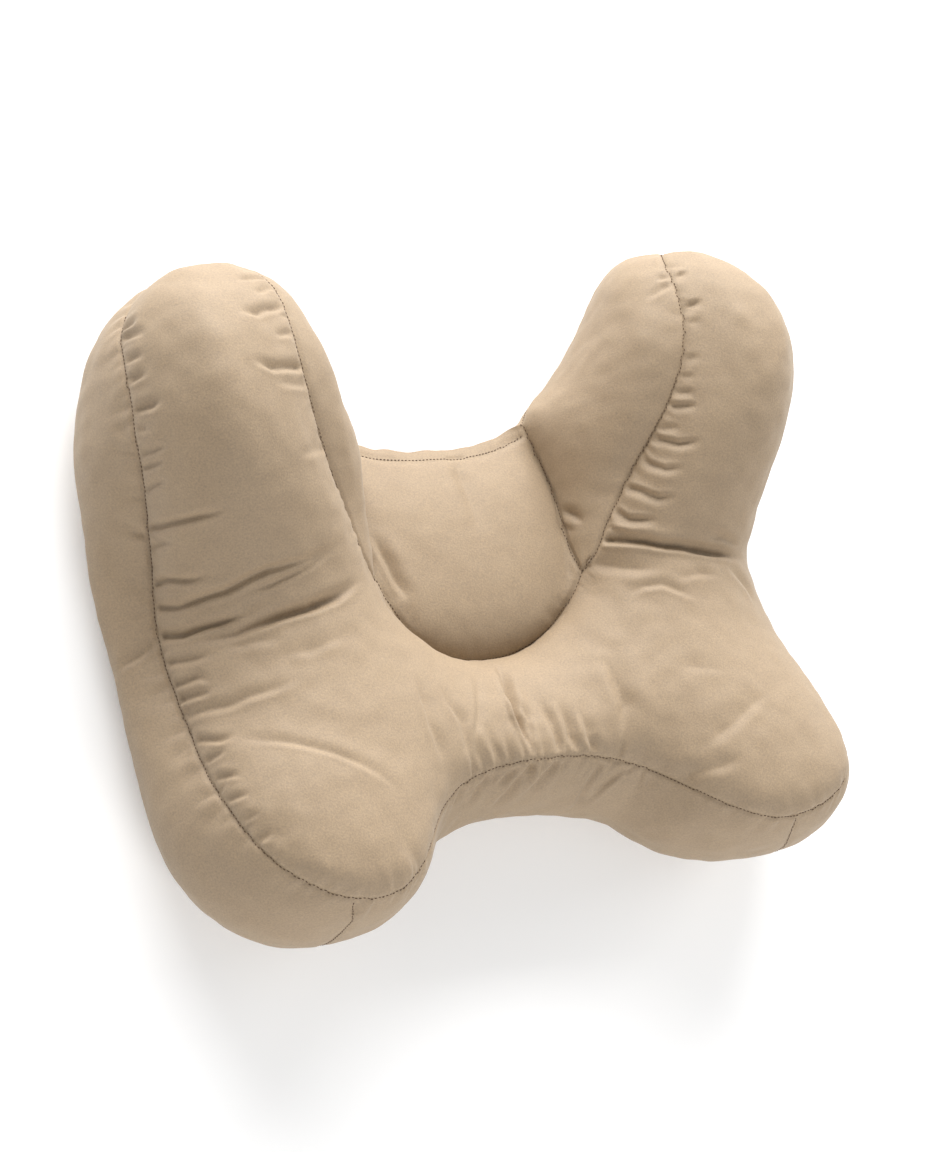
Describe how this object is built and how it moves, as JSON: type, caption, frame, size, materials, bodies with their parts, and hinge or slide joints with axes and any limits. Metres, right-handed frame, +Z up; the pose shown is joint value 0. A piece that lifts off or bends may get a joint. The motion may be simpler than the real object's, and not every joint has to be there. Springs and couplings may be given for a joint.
{
  "type": "side sleeper pillow",
  "caption": "Stuffed butterfly-shaped cloth pillow for side sleeping, with raised arms and lobes, a drawn-in waist, boxed sides and a sloping head cradle set into a U-shaped cut-out.",
  "frame": {"origin": "bottom centre of the pillow's box, on the surface it lies on", "axes": "+Z up out of the face, square to the flat back; +Y towards the arms; +X across the pillow, its longest side"},
  "size_m": [0.5528, 0.4514, 0.1548],
  "materials": {
    "brushed_cloth": "brushed beige cloth, suede-like, with tone-on-tone brown stitching"
  },
  "bodies": {
    "root": {"pillow": "brushed_cloth"}
  },
  "joints": []
}
